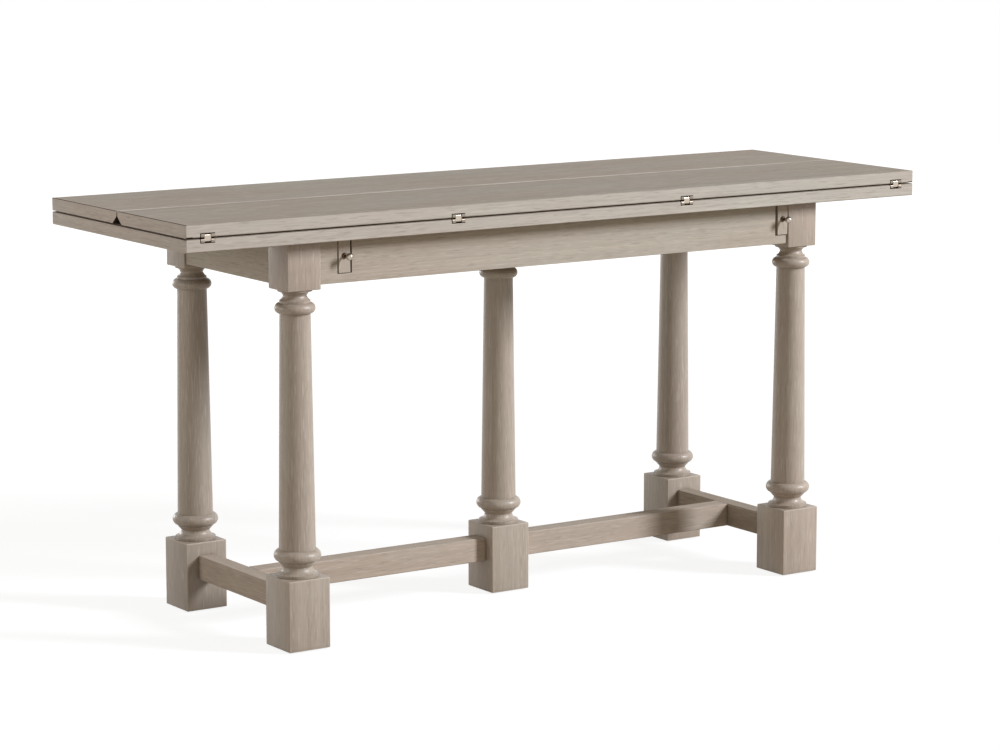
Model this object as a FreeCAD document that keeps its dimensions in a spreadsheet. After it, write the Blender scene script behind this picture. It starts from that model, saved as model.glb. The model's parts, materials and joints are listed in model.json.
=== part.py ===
import FreeCAD, Part
import Sketcher
import math
import os
from types import SimpleNamespace

Vector = FreeCAD.Vector
doc = FreeCAD.newDocument("flip_top_console_table")

# Driving dimensions in millimetres
sizes = {
    # overall
    "table_length": 1570,
    "table_depth": 496,
    "table_height": 762,
    "end_overhang": 210,
    "side_overhang": 31,
    # the fixed top and the two leaves
    "board_thickness": 22.5,
    "layer_gap": 2,
    "seam_gap": 1,
    "hinge_arris": 2.5,
    "edge_round": 2,
    "seam_round": 1,
    "groove_width": 16,
    "groove_height": 14,
    # legs
    "head_width": 66,
    "head_drop": 8,
    "foot_width": 82,
    "foot_top": 128,
    "block_round": 1.5,
    "glide_height": 2.5,
    "glide_radius": 14,
    # turning, from the foot block up
    "base_bead_inset": 8,
    "base_bead_height": 10,
    "base_bead_bulge": 2.5,
    "lower_neck_radius": 25.6,
    "lower_cove_height": 6,
    "lower_flare_height": 5.2,
    "lower_collar_height": 5.2,
    "lower_torus_height": 21.3,
    "lower_torus_bulge": 9.2,
    "column_foot_radius": 32.2,
    # turning, from the head block down
    "head_step_inset": 3,
    "head_step_height": 3,
    "upper_cove_height": 8,
    "upper_neck_radius": 20.5,
    "upper_flare_height": 8,
    "upper_collar_height": 4,
    "upper_torus_height": 18.7,
    "upper_torus_bulge": 8.6,
    "column_head_radius": 26.9,
    "cove_hollow": 2,
    # aprons and their tenons
    "apron_height": 77,
    "apron_thickness": 22,
    "apron_setback": 4,
    "apron_web": 16,
    "tenon_thickness": 10,
    "tenon_length": 22,
    "tenon_shoulder": 8,
    "low_tenon_shoulder": 2,
    "joint_clearance": 0.2,
    # stretchers
    "stretcher_bottom": 60,
    "stretcher_height": 44,
    "end_stretcher_width": 33,
    "long_stretcher_width": 37,
    "stretcher_round": 2,
    "stretcher_tenon_width": 16,
    "stretcher_tenon_length": 25,
    "stub_tenon_length": 14,
    # centre cross rail and the spigot of the centre leg
    "rail_height": 43,
    "rail_width": 66,
    "rail_tenon_length": 12,
    "spigot_radius": 14,
    "spigot_cover": 13,
    # lopers and what guides them
    "loper_width": 23,
    "loper_setback": 2,
    "loper_back_gap": 21,
    "loper_round": 1,
    "loper_top_gap": 0.5,
    "loper_slide_gap": 0.2,
    "loper_notch_drop": 1.4,
    "loper_tight_gap": 0.8,
    "loper_wide_gap": 4.2,
    "slot_divider": 8,
    "loper_travel": 230,
    "runner_thickness": 12,
    "runner_side_gap": 0.4,
    "guide_strip_width": 12,
    "peg_radius": 4,
    "peg_depth": 16,
    "peg_drop": 9,
    "peg_inset": 20,
    "peg_slot_gap": 0.4,
    # loper knobs
    "knob_radius": 5.5,
    "knob_reach": 17.5,
    "knob_stem_radius": 2.2,
    "knob_base_radius": 4.2,
    "knob_base_height": 2.5,
    "knob_stud_radius": 2,
    "knob_stud_length": 15,
    # double-pivot hinges
    "link_pitch": 8,
    "open_gap": 0.4,
    "hinge_end_inset": 41,
    "hinge_width": 26,
    "hinge_plate_length": 40,
    "hinge_plate_thickness": 3,
    "knuckle_wall": 1.1,
    "knuckle_margin": 0.3,
    "mortise_clearance": 0.3,
    "mortise_wide_gap": 1.8,
    "mortise_tight_gap": 0.2,
    "mortise_floor_gap": 1.5,
    "link_width": 12,
    "link_cover": 0.1,
    "link_clearance": 0.2,
    "pin_radius": 1.5,
    "pin_clearance": 0.05,
    "pin_end_inset": 0.5,
    "hinge_screw_radius": 1.6,
    "hinge_screw_head": 3.2,
    "hinge_screw_length": 13,
    "hinge_screw_inset": 8,
    "screw_clearance": 0.1,
    # cleats that hold the fixed top
    "cleat_width": 18,
    "cleat_rail_gap": 12,
    "cleat_end_gap": 23,
    "cleat_screw_radius": 2,
    "cleat_screw_head": 4,
    "cleat_screw_head_height": 2.4,
    "cleat_screw_length": 30,
    "cleat_screw_inset": 35,
    # bumper dots between the layers
    "bumper_radius": 5,
    "bumper_clearance": 0.1,
    "bumper_spacing": 600,
    "bumper_offset": 40,
}

sheet = doc.addObject("Spreadsheet::Sheet", "Sizes")
for row, (name, number) in enumerate(sizes.items(), start=1):
    sheet.set(f"A{row}", name)
    sheet.set(f"B{row}", str(number))
    sheet.setAlias(f"B{row}", name)
doc.recompute()


class Size:
    """A length that carries its value and the formula it comes from."""

    def __init__(self, value, formula):
        self.value = value
        self.formula = formula

    def __add__(self, other):
        other = as_size(other)
        return Size(self.value + other.value, f"({self.formula} + {other.formula})")

    def __sub__(self, other):
        other = as_size(other)
        return Size(self.value - other.value, f"({self.formula} - {other.formula})")

    def __mul__(self, other):
        other = as_size(other)
        return Size(self.value * other.value, f"({self.formula} * {other.formula})")

    def __truediv__(self, other):
        other = as_size(other)
        return Size(self.value / other.value, f"({self.formula} / {other.formula})")

    def __radd__(self, other):
        return as_size(other) + self

    def __rsub__(self, other):
        return as_size(other) - self

    def __rmul__(self, other):
        return as_size(other) * self

    def __neg__(self):
        return as_size(0) - self


def as_size(number):
    return number if isinstance(number, Size) else Size(float(number), repr(float(number)))


d = SimpleNamespace(**{name: Size(float(sheet.get(name)), f"Sizes.{name}") for name in sizes})

# Levels above the floor
leaf_bottom = d.table_height - d.board_thickness
top_surface = leaf_bottom - d.layer_gap
underside = top_surface - d.board_thickness
apron_bottom = underside - d.apron_height
head_bottom = apron_bottom - d.head_drop
stretcher_top = d.stretcher_bottom + d.stretcher_height
rail_bottom = underside - d.rail_height
notch_bottom = apron_bottom + d.apron_web
loper_bottom = notch_bottom + d.loper_notch_drop
loper_top = underside - d.loper_top_gap
loper_middle = (loper_bottom + loper_top) / 2
runner_top = loper_bottom - d.loper_slide_gap
runner_bottom = runner_top - d.runner_thickness

# Half measures from the middle of the table
half_length = d.table_length / 2
half_depth = d.table_depth / 2
head_half = d.head_width / 2
foot_half = d.foot_width / 2
leg_x = half_length - d.end_overhang - head_half
leg_y = half_depth - d.side_overhang - head_half
head_inner_x = leg_x - head_half
head_inner_y = leg_y - head_half
apron_face_y = leg_y + head_half - d.apron_setback
apron_inner_y = apron_face_y - d.apron_thickness
apron_face_x = leg_x + head_half - d.apron_setback
tenon_inset = d.apron_setback + (d.apron_thickness - d.tenon_thickness) / 2
rail_half = d.rail_width / 2

# Lopers: the outer one runs beside the leg head, the inner one beyond the divider
loper_half = d.loper_width / 2
outer_loper_x = head_inner_x - d.loper_tight_gap - loper_half
divider_outer_x = outer_loper_x - loper_half - d.loper_wide_gap
divider_inner_x = divider_outer_x - d.slot_divider
inner_loper_x = divider_inner_x - d.loper_tight_gap - loper_half
strip_outer_x = inner_loper_x - loper_half - d.loper_tight_gap
strip_inner_x = strip_outer_x - d.guide_strip_width
loper_face_y = leg_y + head_half - d.loper_setback
loper_end_y = apron_inner_y - d.loper_back_gap
peg_y = loper_end_y - d.peg_inset

# Hinge pins: how far in from the edge, and how far below the surface
pin_inset = (d.link_pitch - d.open_gap) / 2
pin_depth = (d.link_pitch - d.layer_gap) / 2
link_radius = pin_depth - d.link_cover
link_swing = link_radius + d.link_clearance
knuckle_depth = pin_inset + link_swing + d.knuckle_wall
knuckle_height = pin_depth + link_radius + d.knuckle_margin
hinge_half = d.hinge_width / 2
screw_spots = [knuckle_depth + d.hinge_screw_inset, d.hinge_plate_length - d.hinge_screw_inset]
outer_hinge_x = half_length - d.hinge_end_inset
hinge_places = [outer_hinge_x * share for share in (-1, -1 / 3, 1 / 3, 1)]

# How far a cut runs past a face, and the rise of a quarter circle over its chord for a radius of one
past = 1
quarter_rise = 1 - math.sqrt(0.5)

half_turn = FreeCAD.Rotation(Vector(0, 0, 1), 180)
no_turn = FreeCAD.Rotation()
facing_front = FreeCAD.Rotation(Vector(1, 0, 0), 90)
facing_back = FreeCAD.Rotation(Vector(1, 0, 0), -90)
along_x = FreeCAD.Rotation(Vector(0, 1, 0), 90)
nodes = []


def bind(thing, path, length):
    thing.setExpression(path, as_size(length).formula)


def place(thing, base, rotation=no_turn):
    thing.Placement = FreeCAD.Placement(Vector(0, 0, 0), rotation)
    for axis, length in zip("xyz", base):
        bind(thing, f"Placement.Base.{axis}", length)


def node(thing, label):
    thing.Label = label
    nodes.append(thing)
    return thing


def box(name, low, high):
    """A block between two corners."""
    block = doc.addObject("Part::Box", name)
    for path, start, end in zip(("Length", "Width", "Height"), low, high):
        bind(block, path, as_size(end) - start)
    place(block, low)
    return block


def cylinder(name, base, radius, height, rotation=no_turn):
    rod = doc.addObject("Part::Cylinder", name)
    bind(rod, "Radius", radius)
    bind(rod, "Height", height)
    place(rod, base, rotation)
    return rod


def cone(name, base, low_radius, high_radius, height):
    taper = doc.addObject("Part::Cone", name)
    bind(taper, "Radius1", low_radius)
    bind(taper, "Radius2", high_radius)
    bind(taper, "Height", height)
    place(taper, base)
    return taper


def fuse(name, pieces):
    whole = doc.addObject("Part::MultiFuse", name)
    whole.Shapes = pieces
    whole.Refine = True
    return whole


def cut(name, base, tools):
    rest = doc.addObject("Part::Cut", name)
    rest.Base = base
    rest.Tool = tools[0] if len(tools) == 1 else fuse(f"{name}_cuts", tools)
    return rest


def round_long_edges(name, base, radius, axis):
    """Rounds the block's edges that run along one axis."""
    doc.recompute()
    rounded = doc.addObject("Part::Fillet", name)
    rounded.Base = base
    across = [other for other in "xyz" if other != axis]
    picked = []
    for index, edge in enumerate(base.Shape.Edges, start=1):
        start, end = (vertex.Point for vertex in edge.Vertexes)
        if all(abs(getattr(start, other) - getattr(end, other)) < 1e-6 for other in across):
            picked.append((index, radius.value, radius.value))
    rounded.Edges = picked
    return rounded


def body_of(name):
    return doc.addObject("PartDesign::Body", name)


def sketch_on(body, name, role, offset=None):
    sketch = body.newObject("Sketcher::SketchObject", name)
    plane = next(feature for feature in body.Origin.OriginFeatures if feature.Role == role)
    sketch.AttachmentSupport = (plane, "")
    sketch.MapMode = "FlatFace"
    if offset is not None:
        bind(sketch, "AttachmentOffset.Base.z", offset)
    return sketch


def draw_outline(sketch, corners, bulges=None):
    """A closed outline, anticlockwise through its corners; a side with a bulge is an arc rising outward."""
    bulges = bulges or {}
    corners = [(as_size(across), as_size(up)) for across, up in corners]
    ends = []
    for index, start in enumerate(corners):
        end = corners[(index + 1) % len(corners)]
        first = Vector(start[0].value, start[1].value, 0)
        last = Vector(end[0].value, end[1].value, 0)
        if index not in bulges:
            side = sketch.addGeometry(Part.LineSegment(first, last), False)
            ends.append(((side, 1), (side, 2)))
            continue
        rise = as_size(bulges[index])
        run = last - first
        outward = Vector(run.y, -run.x, 0).normalize()
        middle = (first + last) * 0.5 + outward * rise.value
        outside = rise.value > 0
        arc = Part.Arc(first, middle, last) if outside else Part.Arc(last, middle, first)
        side = sketch.addGeometry(arc, False)
        ends.append(((side, 1), (side, 2)) if outside else ((side, 2), (side, 1)))
        width = end[0] - start[0]
        height = end[1] - start[1]
        span = width * width + height * height
        held = sketch.addConstraint(Sketcher.Constraint("Radius", side, sketch.Geometry[side].Radius))
        lift = rise if outside else -rise
        bind(sketch, f"Constraints[{held}]", (span / 4 + lift * lift) / (2 * lift))
    for index, (across, up) in enumerate(corners):
        spot = ends[index][0]
        sketch.addConstraint(Sketcher.Constraint("Coincident", *ends[index - 1][1], *spot))
        hold(sketch, spot, "DistanceX", across, -2)
        hold(sketch, spot, "DistanceY", up, -1)


def hold(sketch, spot, kind, length, axis):
    """Holds a corner at its distance from the sketch origin, or on the axis itself."""
    if length.value == 0:
        sketch.addConstraint(Sketcher.Constraint("PointOnObject", *spot, axis))
        return
    held = sketch.addConstraint(Sketcher.Constraint(kind, -1, 1, *spot, length.value))
    bind(sketch, f"Constraints[{held}]", length)


def draw_square(sketch, half):
    """A square about the sketch origin, held by its size and its symmetry."""
    reach = half.value
    corners = [Vector(x * reach, y * reach, 0) for x, y in ((-1, -1), (1, -1), (1, 1), (-1, 1))]
    for index, corner in enumerate(corners):
        sketch.addGeometry(Part.LineSegment(corner, corners[(index + 1) % 4]), False)
    for index in range(4):
        sketch.addConstraint(Sketcher.Constraint("Coincident", index, 2, (index + 1) % 4, 1))
    for side, direction in enumerate(("Horizontal", "Vertical", "Horizontal", "Vertical")):
        sketch.addConstraint(Sketcher.Constraint(direction, side))
    sketch.addConstraint(Sketcher.Constraint("Symmetric", 0, 1, 2, 1, -1, 1))
    for side, kind in ((0, "DistanceX"), (1, "DistanceY")):
        held = sketch.addConstraint(Sketcher.Constraint(kind, side, 1, side, 2, 2 * reach))
        bind(sketch, f"Constraints[{held}]", 2 * half)


def pad(body, sketch, name, length, both_ways=False):
    grown = body.newObject("PartDesign::Pad", name)
    grown.Profile = sketch
    if both_ways:
        grown.SideType = "Symmetric"
    bind(grown, "Length", length)
    return grown


def copies(name, source, places):
    """Separate copies of one piece, each at its own placement, as one node."""
    doc.recompute()
    solids = []
    for placement in places:
        shape = source.Shape.copy()
        shape.Placement = placement.multiply(shape.Placement)
        solids.append(shape)
    group = doc.addObject("Part::Feature", name)
    group.Shape = Part.makeCompound(solids)
    return node(group, name)


def at(x, y, z, rotation=no_turn):
    return FreeCAD.Placement(Vector(*(as_size(length).value for length in (x, y, z))), rotation)


# Turned legs

def turned_blank(name, head_top):
    """A foot block, the turning and a head block in one piece, on the leg's own axis."""
    body = body_of(name)
    foot = sketch_on(body, f"{name}_foot", "XY_Plane", d.glide_height)
    draw_square(foot, foot_half)
    pad(body, foot, f"{name}_foot_block", d.foot_top - d.glide_height)
    bead_radius = foot_half - d.base_bead_inset
    step_radius = head_half - d.head_step_inset
    lower = [d.foot_top]
    for rise in (d.base_bead_height, d.lower_cove_height, d.lower_flare_height, d.lower_collar_height,
                 d.lower_torus_height):
        lower.append(lower[-1] + rise)
    upper = [head_bottom]
    for fall in (d.head_step_height, d.upper_cove_height, d.upper_flare_height, d.upper_collar_height,
                 d.upper_torus_height):
        upper.append(upper[-1] - fall)
    turning = sketch_on(body, f"{name}_turning", "XZ_Plane")
    draw_outline(turning, [
        (0, lower[0]),
        (bead_radius, lower[0]),
        (bead_radius, lower[1]),
        (d.lower_neck_radius, lower[2]),
        (d.column_foot_radius, lower[3]),
        (d.column_foot_radius, lower[4]),
        (d.column_foot_radius, lower[5]),
        (d.column_head_radius, upper[5]),
        (d.column_head_radius, upper[4]),
        (d.column_head_radius, upper[3]),
        (d.upper_neck_radius, upper[2]),
        (step_radius, upper[1]),
        (step_radius, upper[0]),
        (0, upper[0]),
    ], {1: d.base_bead_bulge, 2: -d.cove_hollow, 3: -d.cove_hollow, 5: d.lower_torus_bulge,
        7: d.upper_torus_bulge, 9: -d.cove_hollow / 2, 10: -d.cove_hollow})
    turned = body.newObject("PartDesign::Revolution", f"{name}_column")
    turned.Profile = turning
    turned.ReferenceAxis = (turning, ["V_Axis"])
    turned.Angle = 360
    head = sketch_on(body, f"{name}_head", "XY_Plane", head_bottom)
    draw_square(head, head_half)
    pad(body, head, f"{name}_head_block", head_top - head_bottom)
    doc.recompute()
    sharp = body.Tip
    soften = body.newObject("PartDesign::Fillet", f"{name}_arrises")
    soften.Base = (sharp, block_arrises(sharp.Shape, head_top))
    bind(soften, "Radius", d.block_round)
    return body


def block_arrises(shape, head_top):
    """The straight edges of both blocks, apart from those under the top."""
    picked = []
    for index, edge in enumerate(shape.Edges, start=1):
        if not isinstance(edge.Curve, Part.Line):
            continue
        if all(abs(vertex.Point.z - head_top.value) < 1e-6 for vertex in edge.Vertexes):
            continue
        picked.append(f"Edge{index}")
    return picked


def mortise(name, low, high):
    """The hole for a tenon between two corners, with clearance round it."""
    return box(name, [end - d.joint_clearance for end in low], [end + d.joint_clearance for end in high])


corner_blank = turned_blank("turned_leg", underside)
full_tenon = (apron_bottom + d.tenon_shoulder, underside - d.tenon_shoulder)
low_tenon = (apron_bottom + d.low_tenon_shoulder, notch_bottom - d.low_tenon_shoulder)
stretcher_tenon = (d.stretcher_bottom + d.tenon_shoulder, stretcher_top - d.tenon_shoulder)
bar_tenon_half = d.stretcher_tenon_width / 2


def corner_leg(label, side, base, rotation):
    """A corner leg; side is 1 where the long apron joins on its right and -1 where it joins on its left."""
    apron_tenon = full_tenon if side > 0 else low_tenon
    inner = [side * head_half, side * (head_half - d.tenon_length)]
    near, far = inner if side < 0 else inner[::-1]
    front = -(head_half - tenon_inset)
    outer = -side * (head_half - tenon_inset)
    outer_low = outer if side > 0 else outer - d.tenon_thickness
    holes = [
        mortise(f"{label}_apron_hole", (near, front, apron_tenon[0]),
                (far, front + d.tenon_thickness, apron_tenon[1])),
        mortise(f"{label}_end_hole", (outer_low, head_half - d.tenon_length, full_tenon[0]),
                (outer_low + d.tenon_thickness, head_half, full_tenon[1])),
        mortise(f"{label}_foot_hole",
                (-bar_tenon_half, foot_half - d.stretcher_tenon_length, stretcher_tenon[0]),
                (bar_tenon_half, foot_half, stretcher_tenon[1])),
    ]
    leg = cut(label, corner_blank, holes)
    place(leg, (*base, 0), rotation)
    return node(leg, label)


corner_leg("front_left_leg", 1, (-leg_x, -leg_y), no_turn)
corner_leg("front_right_leg", -1, (leg_x, -leg_y), no_turn)
corner_leg("back_right_leg", 1, (leg_x, leg_y), half_turn)
corner_leg("back_left_leg", -1, (-leg_x, leg_y), half_turn)

# Centre leg: its head stops under the cross rail and its spigot goes up into it
centre_blank = turned_blank("centre_turning", rail_bottom)
spigot_length = d.rail_height - d.spigot_cover
spigot = cylinder("centre_spigot", (0, 0, rail_bottom - past), d.spigot_radius, spigot_length + past)
centre_holes = [
    mortise("centre_left_hole", (-foot_half, -bar_tenon_half, stretcher_tenon[0]),
            (d.stretcher_tenon_length - foot_half, bar_tenon_half, stretcher_tenon[1])),
    mortise("centre_right_hole", (foot_half - d.stretcher_tenon_length, -bar_tenon_half, stretcher_tenon[0]),
            (foot_half, bar_tenon_half, stretcher_tenon[1])),
]
node(cut("centre_leg", fuse("centre_leg_blank", [centre_blank, spigot]), centre_holes), "centre_leg")

# A glide under each foot
glide = cylinder("glide", (0, 0, 0), d.glide_radius, d.glide_height)
foot_spots = [(-leg_x, -leg_y), (leg_x, -leg_y), (-leg_x, leg_y), (leg_x, leg_y), (0, 0)]
copies("foot_glides", glide, [at(x, y, 0) for x, y in foot_spots])


# Stretchers

def end_stretcher(label, rotation):
    half_width = d.end_stretcher_width / 2
    inner_face = half_width - leg_x
    half_run = leg_y - foot_half
    bar = box(f"{label}_bar", (-leg_x - half_width, -half_run, d.stretcher_bottom),
              (inner_face, half_run, stretcher_top))
    tenon_reach = half_run + d.stretcher_tenon_length
    tenon = box(f"{label}_tenon", (-leg_x - bar_tenon_half, -tenon_reach, stretcher_tenon[0]),
                (bar_tenon_half - leg_x, tenon_reach, stretcher_tenon[1]))
    hole = mortise(f"{label}_hole", (inner_face - d.stub_tenon_length, -bar_tenon_half, stretcher_tenon[0]),
                   (inner_face, bar_tenon_half, stretcher_tenon[1]))
    rounded = round_long_edges(f"{label}_rounded", bar, d.stretcher_round, "y")
    stretcher = cut(label, fuse(f"{label}_blank", [rounded, tenon]), [hole])
    place(stretcher, (0, 0, 0), rotation)
    return node(stretcher, label)


def long_stretcher(label, rotation):
    outer = d.end_stretcher_width / 2 - leg_x
    bar = box(f"{label}_bar", (outer, -d.long_stretcher_width / 2, d.stretcher_bottom),
              (-foot_half, d.long_stretcher_width / 2, stretcher_top))
    tenon = box(f"{label}_tenon", (outer - d.stub_tenon_length, -bar_tenon_half, stretcher_tenon[0]),
                (d.stretcher_tenon_length - foot_half, bar_tenon_half, stretcher_tenon[1]))
    rounded = round_long_edges(f"{label}_rounded", bar, d.stretcher_round, "x")
    stretcher = fuse(label, [rounded, tenon])
    place(stretcher, (0, 0, 0), rotation)
    return node(stretcher, label)


end_stretcher("left_end_stretcher", no_turn)
end_stretcher("right_end_stretcher", half_turn)
long_stretcher("left_long_stretcher", no_turn)
long_stretcher("right_long_stretcher", half_turn)


# Aprons and the cross rail

def loper_notch(name, centre, wide_side):
    """The opening in an apron for one loper; the wide gap is on the side nearer the middle."""
    gaps = (d.loper_tight_gap, d.loper_wide_gap) if wide_side > 0 else (d.loper_wide_gap, d.loper_tight_gap)
    return box(name, (centre - loper_half - gaps[0], -apron_face_y - past, notch_bottom),
               (centre + loper_half + gaps[1], past - apron_inner_y, underside + past))


def long_apron(label, rotation):
    """Notched for the inner loper on its left and, beside the right leg, for the outer loper."""
    plank = box(f"{label}_plank", (-head_inner_x, -apron_face_y, apron_bottom),
                (head_inner_x, -apron_inner_y, underside))
    tenon_face = tenon_inset - leg_y - head_half
    left_tenon = box(f"{label}_left_tenon", (-head_inner_x - d.tenon_length, tenon_face, full_tenon[0]),
                     (-head_inner_x + past, tenon_face + d.tenon_thickness, full_tenon[1]))
    right_tenon = box(f"{label}_right_tenon", (head_inner_x - past, tenon_face, low_tenon[0]),
                      (head_inner_x + d.tenon_length, tenon_face + d.tenon_thickness, low_tenon[1]))
    rail_hole = mortise(f"{label}_rail_hole", (-rail_tenon_half, -rail_reach, rail_tenon[0]),
                        (rail_tenon_half, -apron_inner_y, rail_tenon[1]))
    notches = [
        loper_notch(f"{label}_inner_notch", -inner_loper_x, 1),
        loper_notch(f"{label}_outer_notch", outer_loper_x, -1),
    ]
    apron = cut(label, fuse(f"{label}_blank", [plank, left_tenon, right_tenon]), [rail_hole, *notches])
    place(apron, (0, 0, 0), rotation)
    return node(apron, label)


def end_apron(label, rotation):
    tenon_face = tenon_inset - leg_x - head_half
    plank = box(f"{label}_plank", (-apron_face_x, -head_inner_y, apron_bottom),
                (d.apron_thickness - apron_face_x, head_inner_y, underside))
    tenon = box(f"{label}_tenon", (tenon_face, -head_inner_y - d.tenon_length, full_tenon[0]),
                (tenon_face + d.tenon_thickness, head_inner_y + d.tenon_length, full_tenon[1]))
    apron = fuse(label, [plank, tenon])
    place(apron, (0, 0, 0), rotation)
    return node(apron, label)


rail_tenon_half = rail_half - d.tenon_shoulder
rail_tenon = (rail_bottom + d.tenon_shoulder, underside - d.tenon_shoulder)
rail_reach = apron_inner_y + d.rail_tenon_length
long_apron("front_apron", no_turn)
long_apron("back_apron", half_turn)
end_apron("left_end_apron", no_turn)
end_apron("right_end_apron", half_turn)

rail_blank = fuse("cross_rail_blank", [
    box("cross_rail_bar", (-rail_half, -apron_inner_y, rail_bottom), (rail_half, apron_inner_y, underside)),
    box("cross_rail_tenon", (-rail_tenon_half, -rail_reach, rail_tenon[0]),
        (rail_tenon_half, rail_reach, rail_tenon[1])),
])
spigot_hole = cylinder("spigot_hole", (0, 0, rail_bottom - past), d.spigot_radius + d.joint_clearance,
                       spigot_length + d.joint_clearance + past)
node(cut("centre_cross_rail", rail_blank, [spigot_hole]), "centre_cross_rail")


# Lopers, with a knob on the face and a stop peg under the inner end

def loper(side_name, x, direction):
    """direction is -1 for a loper that pulls out to the front and 1 for one that pulls out to the back."""
    label = f"{side_name}_loper"
    turn = no_turn if direction < 0 else half_turn
    local_x = x if direction < 0 else -x
    bar = box(f"{label}_bar", (local_x - loper_half, -loper_face_y, loper_bottom),
              (local_x + loper_half, loper_end_y, loper_top))
    rounded = round_long_edges(f"{label}_rounded", bar, d.loper_round, "y")
    stud_hole = cylinder(f"{label}_stud_hole", (local_x, d.knob_stud_length - loper_face_y, loper_middle),
                         d.knob_stud_radius + d.pin_clearance, d.knob_stud_length + past, facing_front)
    peg_hole = cylinder(f"{label}_peg_hole", (local_x, peg_y, loper_bottom - past),
                        d.peg_radius + d.pin_clearance, d.peg_depth + past)
    bearer = cut(label, rounded, [stud_hole, peg_hole])
    place(bearer, (0, 0, 0), turn)
    node(bearer, label)
    peg = cylinder(f"{side_name}_stop_peg", (x, -direction * peg_y, loper_bottom - d.peg_drop), d.peg_radius,
                   d.peg_drop + d.peg_depth)
    node(peg, f"{side_name}_stop_peg")
    knob(f"{side_name}_knob", x, direction)


def knob(label, x, direction):
    """A ball on a stem and a tapered base, with a stud into the loper; its axis is its own Z."""
    stud = cylinder(f"{label}_stud", (0, 0, -d.knob_stud_length), d.knob_stud_radius,
                    d.knob_stud_length + past)
    base = cone(f"{label}_base", (0, 0, 0), d.knob_base_radius, d.knob_stem_radius, d.knob_base_height)
    stem = cylinder(f"{label}_stem", (0, 0, 0), d.knob_stem_radius, d.knob_reach)
    ball = doc.addObject("Part::Sphere", f"{label}_ball")
    bind(ball, "Radius", d.knob_radius)
    place(ball, (0, 0, d.knob_reach))
    pull = fuse(label, [stud, base, stem, ball])
    place(pull, (x, direction * loper_face_y, loper_middle), facing_front if direction < 0 else facing_back)
    return node(pull, label)


loper("front_left", -inner_loper_x, -1)
loper("front_right", outer_loper_x, -1)
loper("back_right", inner_loper_x, 1)
loper("back_left", -outer_loper_x, 1)


# Runners and guide strips under and between the lopers

def loper_guides(end_name, side):
    """The runner with its peg slots and two strips on it; side is -1 at the left end and 1 at the right."""
    plank = box(f"{end_name}_runner_plank", (d.runner_side_gap - head_inner_x, -apron_inner_y, runner_bottom),
                (-strip_inner_x, apron_inner_y, runner_top))
    slot_half = d.peg_radius + d.peg_slot_gap
    slots = [
        box(f"{end_name}_inner_peg_slot",
            (-inner_loper_x - slot_half, peg_y - d.loper_travel - slot_half, runner_bottom - past),
            (slot_half - inner_loper_x, peg_y + slot_half, runner_top + past)),
        box(f"{end_name}_outer_peg_slot",
            (-outer_loper_x - slot_half, -peg_y - slot_half, runner_bottom - past),
            (slot_half - outer_loper_x, d.loper_travel + slot_half - peg_y, runner_top + past)),
    ]
    runner = cut(f"{end_name}_loper_runner", plank, slots)
    place(runner, (0, 0, 0), no_turn if side < 0 else half_turn)
    node(runner, f"{end_name}_loper_runner")
    divider_low = loper_half + d.loper_tight_gap - outer_loper_x
    strips = {"divider_strip": (divider_low, -divider_inner_x),
              "guide_strip": (-strip_outer_x, -strip_inner_x)}
    for strip_name, faces in strips.items():
        label = f"{end_name}_{strip_name}"
        low_x, high_x = faces if side < 0 else (-faces[1], -faces[0])
        node(box(label, (low_x, -apron_inner_y, runner_top), (high_x, apron_inner_y, loper_top)), label)


loper_guides("left", -1)
loper_guides("right", 1)


# Hinges: a plate with a forked knuckle, a link and its pins

def hinge_plate():
    """Lies under its board's surface: Y runs in from the edge, and the surface is at the knuckle's height."""
    body = body_of("hinge_plate_blank")
    profile = sketch_on(body, "hinge_plate_profile", "YZ_Plane")
    surface = knuckle_height
    draw_outline(profile, [
        (0, 0),
        (knuckle_depth, 0),
        (knuckle_depth, surface - d.hinge_plate_thickness),
        (d.hinge_plate_length, surface - d.hinge_plate_thickness),
        (d.hinge_plate_length, surface),
        (d.hinge_arris, surface),
        (0, surface - d.hinge_arris),
    ], {5: quarter_rise * d.hinge_arris})
    pad(body, profile, "hinge_plate_pad", d.hinge_width, both_ways=True)
    slot_half = d.link_width / 2 + d.link_clearance
    cuts = [
        box("link_slot", (-slot_half, -past, -past), (slot_half, pin_inset + link_swing, surface + past)),
        cylinder("plate_pin_hole", (-hinge_half - past, pin_inset, surface - pin_depth),
                 d.pin_radius + d.pin_clearance, d.hinge_width + 2 * past, along_x),
    ]
    for index, spot in enumerate(screw_spots):
        cuts.append(cone(f"plate_screw_hole_{index}", (0, spot, surface - d.hinge_plate_thickness),
                         d.hinge_screw_radius + d.screw_clearance, d.hinge_screw_head + d.screw_clearance,
                         d.hinge_plate_thickness))
    return cut("hinge_plate", body, cuts)


def hinge_link():
    """A bar with round ends on the two pins; the lower pin's axis is its own X axis."""
    half_width = d.link_width / 2
    rounds = [cylinder(f"link_round_{index}", (-half_width, 0, level), link_radius, d.link_width, along_x)
              for index, level in enumerate((0, d.link_pitch))]
    bar = box("link_bar", (-half_width, -link_radius, 0), (half_width, link_radius, d.link_pitch))
    bores = [cylinder(f"link_bore_{index}", (-half_width - past, 0, level), d.pin_radius + d.pin_clearance,
                      d.link_width + 2 * past, along_x)
             for index, level in enumerate((0, d.link_pitch))]
    return cut("hinge_link", fuse("link_blank", [bar, *rounds]), bores)


def hinge_screw():
    """A countersunk screw whose head is flush with the level at Z zero."""
    shank_length = d.hinge_screw_length - d.hinge_plate_thickness
    head = cone("hinge_screw_head", (0, 0, -d.hinge_plate_thickness), d.hinge_screw_radius,
                d.hinge_screw_head, d.hinge_plate_thickness)
    shank = cylinder("hinge_screw_shank", (0, 0, -d.hinge_screw_length), d.hinge_screw_radius, shank_length)
    return fuse("hinge_screw", [head, shank])


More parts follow.
